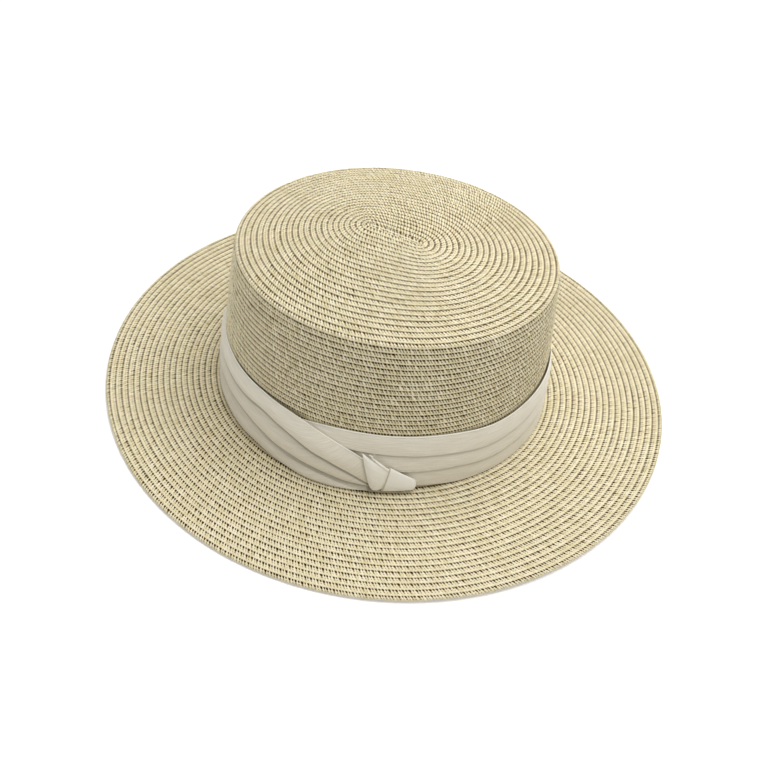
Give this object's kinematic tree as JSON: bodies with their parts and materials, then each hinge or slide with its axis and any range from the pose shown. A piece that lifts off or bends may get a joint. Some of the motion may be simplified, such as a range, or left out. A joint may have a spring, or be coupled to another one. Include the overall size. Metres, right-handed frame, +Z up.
{
  "type": "boater hat",
  "caption": "Boater hat crocheted in straw yarn, with an oval flat-topped crown, a wide flat brim and a pleated ribbon that ends in a knot and a short tail.",
  "frame": {"origin": "bottom centre of the brim, on the plane the hat rests on", "axes": "+Z up through the crown, +X towards the back of the wearer's head along the oval's long axis, -Y towards the wearer's left, where the ribbon is knotted"},
  "size_m": [0.3402, 0.3168, 0.1105],
  "materials": {
    "straw": "crocheted twisted paper yarn, matte",
    "ribbon": "plain-woven cloth, soft matte"
  },
  "bodies": {
    "root": {"straw_body": "straw", "ribbon_band": "ribbon", "ribbon_knot": "ribbon", "ribbon_tail": "ribbon"}
  },
  "joints": []
}
